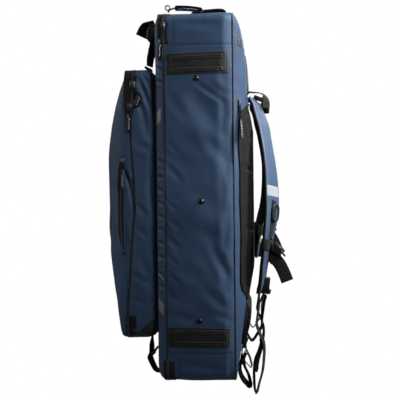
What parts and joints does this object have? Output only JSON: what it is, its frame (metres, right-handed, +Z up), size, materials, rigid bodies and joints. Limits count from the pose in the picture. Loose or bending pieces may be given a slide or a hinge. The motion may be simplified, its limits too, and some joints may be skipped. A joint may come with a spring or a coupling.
{
  "type": "archery backpack",
  "caption": "Tall flat-sided backpack for a takedown bow: zipped main case, bulged front pocket, padded back, two shoulder straps and webbing with buckles",
  "frame": {"origin": "underside of the top handle at its middle, where the bag hangs", "axes": "+Z up, +Y from the bag to the shoulder straps and wearer's back, -Y to the front pocket, +X to the side with the snaps nearest the viewer"},
  "size_m": [0.3038, 0.3769, 0.7881],
  "materials": {
    "coated_navy": "satin",
    "strap_blue": "satin",
    "spacer_mesh": "matte",
    "black_webbing": "matte",
    "black_patch": "satin",
    "black_plastic": "satin",
    "snap_metal": "satin"
  },
  "bodies": {
    "root": {"body_shell": "coated_navy", "front_lid": "coated_navy", "main_zip": "black_webbing", "back_piping": "black_webbing", "pocket_shell": "coated_navy", "pocket_front": "coated_navy", "pocket_zip": "black_webbing", "pocket_base": "black_patch", "slash_zip_right": "black_webbing", "slash_zip_left": "black_webbing", "side_patch_lower_right": "black_patch", "side_patch_lower_left": "black_patch", "side_patch_upper_right": "black_patch", "side_patch_upper_left": "black_patch", "snap_upper_right": "snap_metal", "snap_upper_left": "snap_metal", "snap_middle_right": "snap_metal", "snap_middle_left": "snap_metal", "snap_lower_right": "snap_metal", "snap_lower_left": "snap_metal", "back_pad": "spacer_mesh", "lumbar_pad": "spacer_mesh", "back_patch": "black_patch", "top_handle": "black_webbing", "strap_right": "strap_blue", "strap_left": "strap_blue", "strap_lining_right": "spacer_mesh", "strap_lining_left": "spacer_mesh", "strap_ring_right": "black_plastic", "strap_ring_left": "black_plastic", "ladder_lock_right": "black_plastic", "sternum_buckle_right": "black_plastic", "sternum_strap_right": "black_webbing", "ladder_lock_left": "black_plastic", "sternum_buckle_left": "black_plastic", "sternum_strap_left": "black_webbing", "lower_webbing_right": "black_webbing", "lower_webbing_left": "black_webbing", "load_lifter_right": "black_webbing", "load_lifter_left": "black_webbing", "lifter_buckle_right": "black_plastic", "lifter_buckle_left": "black_plastic", "hip_loop_right": "black_webbing", "hip_loop_left": "black_webbing", "front_top_strap_right": "black_webbing", "front_top_strap_left": "black_webbing", "front_top_buckle_right": "black_plastic", "front_top_buckle_left": "black_plastic", "front_top_lock_right": "black_plastic", "front_top_lock_left": "black_plastic", "front_bottom_strap_right": "black_webbing", "front_bottom_strap_left": "black_webbing", "front_bottom_lock_right": "black_plastic", "front_bottom_lock_left": "black_plastic", "zip_pull_top": "black_plastic", "zip_pull_side": "black_plastic", "zip_pull_pocket_upper": "black_plastic", "zip_pull_pocket_lower": "black_plastic", "zip_pull_slash": "black_plastic", "zip_pull_back": "black_plastic"}
  },
  "joints": []
}
